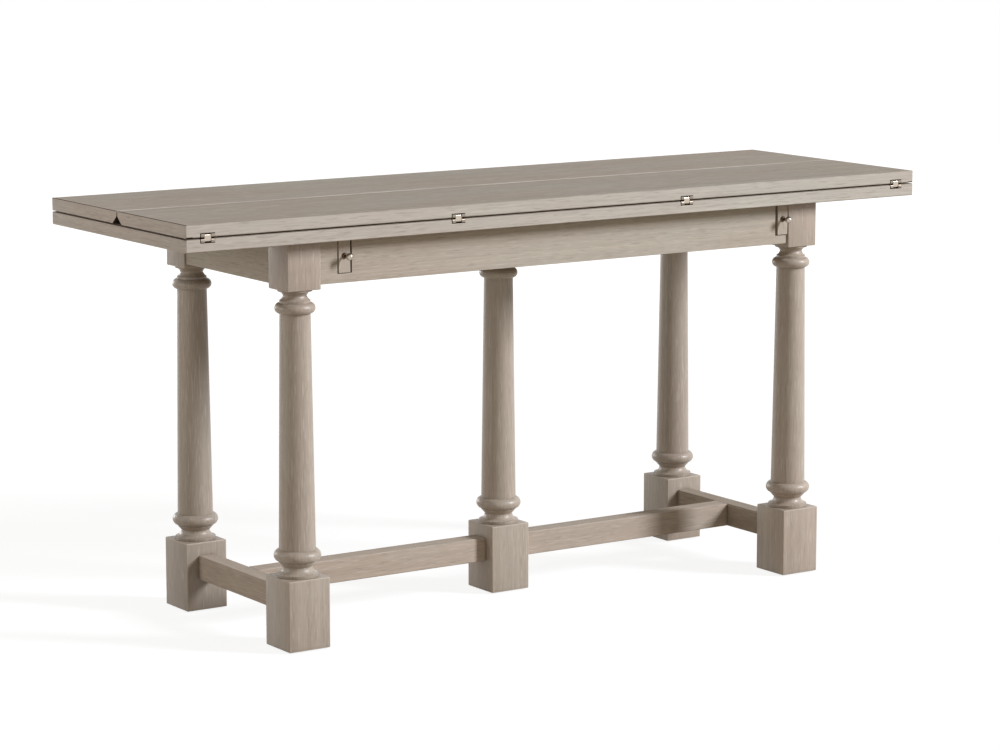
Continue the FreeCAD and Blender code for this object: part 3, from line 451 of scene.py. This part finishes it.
# Turned legs: a column between a foot block and a head block
legShape = {
    "footWidth": 82, "headWidth": 66, "blockRound": 1.8, "roundSegments": 3, "segments": 96, "arcSteps": 10,
    "sink": 2,  # the shaft runs this far into its blocks
    "turning": [  # radius, height and bulge of the next stretch, from foot block to head block
        (36.4, 128), (36.4, 133.4, -2.4), (25.8, 143.6), (25.8, 145.4), (32.4, 152.6), (32.2, 154.4, 9.2),
        (32.2, 175.7), (26.9, 588.3, 8.6), (26.9, 607), (26.9, 611, -1), (20.5, 619, -2),
        (30, 627), (30, 630),
    ],
    "legTonesAndShade": {  # each leg's tone; the back legs are darker, as painted shade
        "front_left_leg": 0.83, "front_right_leg": 0.87, "centre_leg": 0.86, "back_right_leg": 0.77,
        "back_left_leg": 0.73,
    },
}


def turningOutline(stations):
    points = [stations[0][:2]]
    for here, there in zip(stations, stations[1:]):
        bulge = here[2] if len(here) > 2 else 0
        points += arcPoints(here[:2], there[:2], bulge, legShape["arcSteps"]) if bulge else [there[:2]]
    return points


def legBlocks(name, boxes, finish):  # boxes in mm, with rounded arrises, worn and with painted highlight
    work = bmesh.new()
    for low, high in boxes:
        low, high = Vector(low) * mm, Vector(high) * mm
        fit = Matrix.Translation((low + high) / 2) @ Matrix.Diagonal((*(high - low), 1))
        bmesh.ops.create_cube(work, size=1, matrix=fit)
    bmesh.ops.bevel(work, geom=work.edges[:], offset=legShape["blockRound"] * mm, profile=0.5,
                    segments=legShape["roundSegments"], affect="EDGES", material=1)
    return meshOf(name, work, (finish, oakRubbedAndLit))


def turnedLeg(node, headTop):
    low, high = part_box(node)
    finish = washedOak("washedOak_" + node, "upright", {**legLook, "tone": legShape["legTonesAndShade"][node]})
    stations = legShape["turning"]
    footRadius, footTop = stations[0]
    headRadius, headBottom = stations[-1]
    shaftBottom, shaftTop = footTop - legShape["sink"], headBottom + legShape["sink"]
    outline = [(0, shaftBottom), (footRadius, shaftBottom), *turningOutline(stations),
               (headRadius, shaftTop), (0, shaftTop)]
    footHalf, headHalf = legShape["footWidth"] / 2, legShape["headWidth"] / 2
    boxes = [((-footHalf, -footHalf, low.z / mm), (footHalf, footHalf, footTop)),
             ((-headHalf, -headHalf, headBottom), (headHalf, headHalf, headTop / mm))]
    blocks = legBlocks(node + "Blocks", boxes, finish)
    leg = turned(node + "_turned", outline, [middleAt(low, high, 0)], finish, legShape["segments"], blocks)
    return seat(leg, node)


for corner in corners:
    turnedLeg(corner + "_leg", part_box(corner + "_leg")[1].z)
turnedLeg("centre_leg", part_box("centre_cross_rail")[0].z)
print("legs turned")

# Flat pieces: the CAD shape with its arrises eased, and raw wood in the housings that other pieces sit in
flatPieces = {
    "boards": {"finish": oakTop, "ease": 0.35, "nodes": {
        "fixed_top": ("front_hinge_base_plates", "back_hinge_base_plates"),
        **{side + "_leaf": (side + "_hinge_leaf_plates",) for side in sides}}},
    "longRails": {"finish": oakLong, "ease": 0.7, "nodes": {
        **{side + "_apron": (side + "_left_loper", side + "_right_loper") for side in sides},
        **{corner + "_cleat": () for corner in corners}}},
    "longStretchers": {"finish": oakStretcher, "ease": 0.7, "nodes": {
        end + "_long_stretcher": () for end in ends}},
    "leftStretcher": {"finish": oakEndStretcher, "ease": 0.7, "nodes": {"left_end_stretcher": ()}},
    "rightStretcher": {"finish": oakShadedStretcher, "ease": 0.7, "nodes": {"right_end_stretcher": ()}},
    "crossRails": {"finish": oakCross, "ease": 0.7, "nodes": {
        f"{end}_{part}": () for end in ends
        for part in ("end_apron", "loper_runner", "divider_strip", "guide_strip")}},
    "centreRail": {"finish": oakCross, "ease": 0.7, "nodes": {"centre_cross_rail": ()}},
    "lopers": {"finish": oakLoper, "ease": 0.6, "nodes": {corner + "_loper": () for corner in corners}},
}
metalPieces = {"ease": 0.18, "finishes": {
    "base_plates": agedNickel, "leaf_plates": agedNickel, "links": nickel, "base_pins": agedNickel,
    "leaf_pins": agedNickel}}
easing = {"flat": 0.4, "sharp": 40, "segments": 2}  # degrees: below is one plane, above is an arris
housing = 6.0  # mm, how far around a seated piece its housing reaches
boardLines = {  # mm, lines on the boards' edges
    "end": 1.0, "gap": 0.4, "gapDepth": 1.6, "meeting": 1.9, "cadRound": 1.0, "round": 2.2, "grooveEnd": 12,
}
facing = 0.9  # share of a normal along an axis, from which a face looks that way
slant = (0.1, 0.98)  # the same share sideways on the groove's slopes
faceFinish = {"plain": 0, "rawAndShade": 1, "darkLineAndShade": 2, "rubbedAndLit": 3, "end": 4, "edge": 5, "seamGlint": 6}
edgeFinishes = (rawJointAndShade, oakDarkLineAndShade, oakRubbedAndLit, oakEnd, oakEdge, oakSeamGlint)  # they follow the plain one


def housings(seated):  # boxes around the pieces that sit in a node
    reach = Vector((housing, housing, housing)) * mm
    return [(low - reach, high + reach) for name in seated for low, high in nodeSpots(name)]


def within(point, boxes):
    return any(all(a <= p <= b for a, p, b in zip(low, point, high)) for low, high in boxes)


def rawFaces(work, node, boxes):  # faces of the node's housings, which lie within its box
    low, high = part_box(node)
    rail = node.endswith("apron")
    for face in work.faces:
        middle = face.calc_center_median()
        axis = max(range(3), key=lambda i: abs(face.normal[i]))
        outside = min(abs(middle[axis] - low[axis]), abs(middle[axis] - high[axis])) < weld
        tight = rail and face.normal.x * middle.x <= 0  # narrow gaps, below a loper and beside its leg
        rawAndShade = within(middle, boxes) and not outside and not tight
        face.material_index = faceFinish["rawAndShade" if rawAndShade else "plain"]


def splitAt(work, axis, levels):  # cuts the faces along planes square to an axis
    square = Vector([float(i == axis) for i in range(3)])
    for level in levels:
        bmesh.ops.bisect_plane(work, geom=work.verts[:] + work.edges[:] + work.faces[:], dist=weld,
                               plane_co=square * level, plane_no=square)


def boardEdges(work, node):  # a dark line along the ends' top edges, painted shade along the gaps, the seam and the finger groove, painted highlight on the meeting edges, and finishes for ends and long edges
    low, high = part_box(node)
    lines = [value * mm for value in boardLines.values()]
    end, gap, gapDepth, meeting, cadRound, fullRound, grooveEnd = lines
    leaf = node.endswith("leaf")
    gapLevel = low.z if leaf else high.z
    if leaf:  # a fuller round on the meeting edge
        side = min(low.y, high.y, key=abs)
        for vert in work.verts:
            if abs(vert.co.y - side) < cadRound + weld and high.z - vert.co.z < cadRound + weld:
                vert.co.y = side + (vert.co.y - side) * fullRound / cadRound
                vert.co.z = high.z + (vert.co.z - high.z) * fullRound / cadRound
        splitAt(work, 1, (-meeting, meeting))
        splitAt(work, 0, (low.x + grooveEnd, high.x - grooveEnd))
    outer = max(low.y, high.y, key=abs)
    outerSides = (outer,) if leaf else (outer, -outer)
    splitAt(work, 1, [place - math.copysign(gapDepth, place) for place in outerSides])
    splitAt(work, 0, (low.x + end, high.x - end))
    splitAt(work, 2, (high.z - end, gapLevel + gap if leaf else gapLevel - gap))
    for face in work.faces:
        middle = face.calc_center_median()
        fromEnd = min(middle.x - low.x, high.x - middle.x)
        atEnd = fromEnd < end
        nearTop = high.z - middle.z < end
        nearGap = abs(middle.z - gapLevel) < gap and abs(outer) - abs(middle.y) < gapDepth
        onEnd = atEnd and abs(face.normal.x) > facing
        atSeam = leaf and abs(middle.y) < meeting and onEnd
        slanted = leaf and slant[0] < abs(face.normal.y) < slant[1] and face.normal.z < 0
        finish = "plain"
        # painted shade along the gaps between the boards and on the seam at the leaf ends; a dark line along
        # the top edges of the board ends
        if (atEnd and nearTop) or nearGap or atSeam:
            finish = "darkLineAndShade"
        # painted shade on the finger groove's slopes near the board ends
        elif slanted and fromEnd < grooveEnd:
            finish = "rawAndShade"
        # painted highlight on the round of the meeting edge
        elif leaf and abs(middle.y - side) < fullRound and high.z - middle.z < fullRound:
            finish = "seamGlint"
        elif onEnd:
            finish = "end"
        elif abs(face.normal.y) > facing:
            finish = "edge"
        if face.material_index == faceFinish["plain"]:
            face.material_index = faceFinish[finish]


def eased(node, finishes, ease, seated=()):  # a welded copy of the node with a small round on each sharp edge
    work = bmesh.new()
    work.from_mesh(frame["nodes"][node].data)
    bmesh.ops.remove_doubles(work, verts=work.verts[:], dist=weld)
    bmesh.ops.dissolve_limit(work, angle_limit=math.radians(easing["flat"]), verts=work.verts[:],
                             edges=work.edges[:])
    boxes = housings(seated)
    rawFaces(work, node, boxes)
    board = node in flatPieces["boards"]["nodes"]
    if board:
        boardEdges(work, node)
    arris = work.edges.layers.float.new("arris")
    for edge in work.edges:
        sharp = edge.is_manifold and edge.calc_face_angle() > math.radians(easing["sharp"])
        middle = (edge.verts[0].co + edge.verts[1].co) / 2
        edge[arris] = 1 if sharp and not (board and within(middle, boxes)) else 0
    mesh = meshOf(node + "_eased", work, finishes)
    cadNormals = mesh.attributes.get("custom_normal")
    if cadNormals:
        mesh.attributes.remove(cadNormals)
    softShading(mesh)
    piece = newPiece(node + "_eased", mesh)
    bevel = piece.modifiers.new("arris", "BEVEL")
    bevel.width = ease * mm
    bevel.segments = easing["segments"]
    bevel.limit_method = "WEIGHT"
    bevel.edge_weight = "arris"
    bevel.use_clamp_overlap = not board
    # the bevel faces take the worn arris finish with painted highlight
    bevel.material = -1 if board else min(faceFinish["rubbedAndLit"], len(finishes) - 1)
    piece.modifiers.new("flatFaces", "WEIGHTED_NORMAL").keep_sharp = True
    return seat(piece, node)


for group in flatPieces.values():
    for node, seated in group["nodes"].items():
        eased(node, (group["finish"], *edgeFinishes), group["ease"], seated)
for side in sides:
    for part, finish in metalPieces["finishes"].items():
        eased(f"{side}_hinge_{part}", (finish,), metalPieces["ease"])
print("flat pieces eased")

# Ball knobs on the lopers
knobShape = {
    "reach": 23, "ball": 6.2, "ballSteps": 24, "stem": 2.2, "bronzedShadeReach": 13.0, "segments": 48,
    "base": 5.2, "baseHeight": 3.2, "rimHeight": 1.6, "baseBulge": 0.5, "baseSteps": 6,
    "stud": 2.0, "studTip": 1.2, "tipHeight": 1,
}


def ballKnob(corner):
    node = corner + "_knob"
    low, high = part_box(node)
    front = corner.startswith("front")
    shape = knobShape
    ballMiddle = shape["reach"] - shape["ball"]
    neck = math.asin(shape["stem"] / shape["ball"])
    turns = [neck + (math.pi - neck) * i / shape["ballSteps"] for i in range(shape["ballSteps"])]
    ball = [(shape["ball"] * math.sin(a), ballMiddle - shape["ball"] * math.cos(a)) for a in turns]
    rim = (shape["base"], shape["rimHeight"])
    studEnd = -((high.y - low.y) / mm - shape["reach"])
    outline = [(0, studEnd), (shape["studTip"], studEnd), (shape["stud"], studEnd + shape["tipHeight"]),
               (shape["stud"], 0), (shape["base"], 0), rim,
               *arcPoints(rim, (shape["stem"], shape["baseHeight"]), shape["baseBulge"], shape["baseSteps"]),
               *ball, (0, shape["reach"])]
    face = low.y + shape["reach"] * mm if front else high.y - shape["reach"] * mm
    spot = ((low.x + high.x) / 2, face, (low.z + high.z) / 2)
    aim = 90 if front else -90
    knob = turned(node + "_turned", outline, [spot], polishedNickel, shape["segments"], aim=aim)
    knob.data.materials.append(bronzedStemShade)
    # painted shade on the stem and base, up to this reach from the loper's face
    for polygon in knob.data.polygons:
        polygon.material_index = 1 if abs(polygon.center.y - face) < shape["bronzedShadeReach"] * mm else 0
    return seat(knob, node)


for corner in corners:
    ballKnob(corner)
print("knobs turned")

# Screws with a cross recess, set out on the CAD places; a recess has a width, a slot width and a depth
hingeScrew = {"head": 3.2, "headHeight": 3.0, "shank": 1.6, "tip": 3.0, "recess": (4.2, 0.9, 1.3), "seed": 7}
cleatScrew = {"head": 4.0, "headHeight": 2.4, "shank": 2.0, "tip": 4.0, "recess": (4.6, 1.1, 1.4), "seed": 11}
screwShape = {"rim": 0.3, "dome": 0.9, "domeSteps": 8, "point": 0.2, "segments": 28}  # rim if countersunk


def crossRecess(name, size):  # a plug with a cross outline, which starts above the head
    arm, half, depth = size[0] / 2 * mm, size[1] / 2 * mm, size[2] * mm
    quarter = [Vector((arm, -half, -depth)), Vector((arm, half, -depth)), Vector((half, half, -depth))]
    turns = [Matrix.Rotation(math.radians(90 * i), 3, "Z") for i in range(4)]
    outline = [turn @ point for turn in turns for point in quarter]
    work = bmesh.new()
    floor = work.faces.new([work.verts.new(point) for point in outline])
    raised = bmesh.ops.extrude_face_region(work, geom=[floor], use_keep_orig=True)["geom"]
    raisedVerts = [part for part in raised if isinstance(part, bmesh.types.BMVert)]
    bmesh.ops.translate(work, verts=raisedVerts, vec=(0, 0, 2 * depth))
    bmesh.ops.recalc_face_normals(work, faces=work.faces[:])
    return meshOf(name, work)


def screws(node, shape, headUp, countersunk):
    solids = nodeSpots(node)
    length = (solids[0][1].z - solids[0][0].z) / mm
    under = -shape["headHeight"]
    if countersunk:
        headLine = [(shape["head"], -screwShape["rim"]), (shape["head"], 0)]
    else:
        edge = (shape["head"], under)
        headLine = [edge, *arcPoints(edge, (shape["shank"], 0), screwShape["dome"], screwShape["domeSteps"])]
    outline = [(0, -length), (screwShape["point"], -length), (shape["shank"], -length + shape["tip"]),
               (shape["shank"], under), *headLine, (0, 0)]
    spots = [middleAt(low, high, high.z if headUp else low.z) for low, high in solids]
    recess = crossRecess(node + "Recess", shape["recess"])
    group = turned(node + "_cross", outline, spots, nickel, screwShape["segments"], cuts=recess,
                   aim=0 if headUp else 180, spin=360, seed=shape["seed"])
    return seat(group, node)


for side in sides:
    screws(side + "_hinge_base_screws", hingeScrew, True, True)
    screws(side + "_hinge_leaf_screws", hingeScrew, False, True)
screws("cleat_screws", cleatScrew, False, False)

# Glides, bumper dots and stop pegs: small round pieces with a rounded lower edge, in mm
dotEdges = {"glide": 1.0, "bumper": 0.6, "peg": 1.0}
dotShape = {"segments": 32, "bulge": 0.29, "edgeSteps": 5}  # bulge as a share of the edge's round


def dots(node, finish, edge):
    solids = nodeSpots(node)
    low, high = solids[0]
    radius, height = (high.x - low.x) / 2 / mm, (high.z - low.z) / mm
    start = (radius - edge, 0)
    rounded = arcPoints(start, (radius, edge), edge * dotShape["bulge"], dotShape["edgeSteps"])
    outline = [(0, 0), start, *rounded, (radius, height), (0, height)]
    spots = [middleAt(low, high, low.z) for low, high in solids]
    return seat(turned(node + "_turned", outline, spots, finish, dotShape["segments"]), node)


dots("foot_glides", glideNylon, dotEdges["glide"])
dots("leaf_bumpers", bumperRubber, dotEdges["bumper"])
for corner in corners:
    dots(corner + "_stop_peg", oakUpright, dotEdges["peg"])
print("screws, glides, dots and pegs set out")

# Floor, light and camera, in metres
floorLook = {
    "radius": 9, "segments": 96, "colour": "#B2A594", "seen": "#7A7A7A", "glow": 0.87, "fade": (1.6, 4.5),
}
skyLook = {"ambient": "#FFF2E2", "ambientLevel": 0.25, "seen": 1.0}
lamps = {
    "keyLamp": {"place": (10.3, -10.3, 7.93), "size": (2.4, 5.6), "watts": 2990, "colour": "#F6F8FF"},
    "frontLamp": {"place": (-2.0, -5.0, 1.3), "size": (2.0, 1.6), "watts": 10, "colour": "#FFFFFF"},
    "leftLamp": {"place": (-2.2, 0.5, 0.95), "size": (1.2, 1.0), "watts": 8.8, "colour": "#FFFFFF"},
    "backLamp": {"place": (-1.0, 6.0, 1.1), "size": (2.6, 1.8), "watts": 90, "colour": "#FFFFFF"},
}
lampAim = Vector((0, 0, 0.45))
photoView = {  # angles in degrees, lens and sensor in mm
    "place": (-3.386, -5.071, 1.422), "azimuth": 33.76, "tilt": 9.47, "lens": 119.82, "sensor": 36,
    "reach": 100,
}
white = linear("#FFFFFF")


def seenRays(tree):  # 1 for what the camera, a mirror or glass looks at
    path = addNode(tree, "ShaderNodeLightPath").outputs
    direct = addNode(tree, "ShaderNodeMath", {0: path["Is Camera Ray"], 1: path["Is Glossy Ray"]},
                     operation="MAXIMUM")
    return addNode(tree, "ShaderNodeMath", {0: direct.outputs[0], 1: path["Is Transmission Ray"]},
                   operation="MAXIMUM").outputs[0]


def paleFloor(look):
    material, tree = newMaterial("paleFloor")
    place = addNode(tree, "ShaderNodeTexCoord").outputs["Object"]
    far = addNode(tree, "ShaderNodeVectorMath", {0: place}, operation="LENGTH")
    near, wide = look["fade"]
    fade = addNode(tree, "ShaderNodeMapRange", {
        "Value": far.outputs["Value"], "From Min": near, "From Max": wide,
        "To Min": look["glow"], "To Max": 1.0,
    })
    seen = seenRays(tree)
    strength = addNode(tree, "ShaderNodeMath", {0: fade.outputs[0], 1: seen}, operation="MULTIPLY")
    colour = addNode(tree, "ShaderNodeMix", {
        mixFactor: seen, mixFirst: linear(look["colour"]), mixSecond: linear(look["seen"]),
    }, data_type="RGBA")
    dull = addNode(tree, "ShaderNodeBsdfDiffuse", {"Color": colour.outputs[mixResult]})
    glow = addNode(tree, "ShaderNodeEmission", {"Color": white, "Strength": strength.outputs[0]})
    both = addNode(tree, "ShaderNodeAddShader", {0: dull.outputs[0], 1: glow.outputs[0]})
    endMaterial(tree, both.outputs[0])
    work = bmesh.new()
    bmesh.ops.create_circle(work, cap_ends=True, segments=look["segments"], radius=look["radius"])
    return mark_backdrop(newPiece("studioFloor", meshOf("studioFloor", work, (material,))))


def studioSky(look):  # soft light all round, seen as plain white
    world = bpy.data.worlds.new("studio")
    world.use_nodes = True
    tree = world.node_tree
    tree.nodes.clear()
    seen = seenRays(tree)
    ambient = addNode(tree, "ShaderNodeBackground",
                      {"Color": linear(look["ambient"]), "Strength": look["ambientLevel"]})
    plain = addNode(tree, "ShaderNodeBackground", {"Color": white, "Strength": look["seen"]})
    sky = addNode(tree, "ShaderNodeMixShader", {0: seen, 1: ambient.outputs[0], 2: plain.outputs[0]})
    addNode(tree, "ShaderNodeOutputWorld", {"Surface": sky.outputs[0]})
    bpy.context.scene.world = world


def studioLamp(name, lamp):
    light = bpy.data.lights.new(name, "AREA")
    light.shape = "RECTANGLE"
    light.size, light.size_y = lamp["size"]
    light.energy = lamp["watts"]
    light.color = linear(lamp["colour"])[:3]
    holder = newPiece(name, light)
    holder.visible_camera = False
    holder.location = lamp["place"]
    holder.rotation_euler = (lampAim - holder.location).to_track_quat("-Z", "Y").to_euler()


def photoCamera(view):
    camera = bpy.data.cameras.new("photoCamera")
    camera.lens = view["lens"]
    camera.sensor_width = view["sensor"]
    camera.sensor_fit = "HORIZONTAL"
    camera.clip_end = view["reach"]
    holder = newPiece("photoCamera", camera)
    holder.location = view["place"]
    holder.rotation_euler = (math.radians(90 - view["tilt"]), 0, math.radians(-view["azimuth"]))
    bpy.context.scene.camera = holder


paleFloor(floorLook)
studioSky(skyLook)
for name, lamp in lamps.items():
    studioLamp(name, lamp)
photoCamera(photoView)
bpy.context.scene.view_settings.view_transform = "Standard"
print("floor, lamps and camera set")
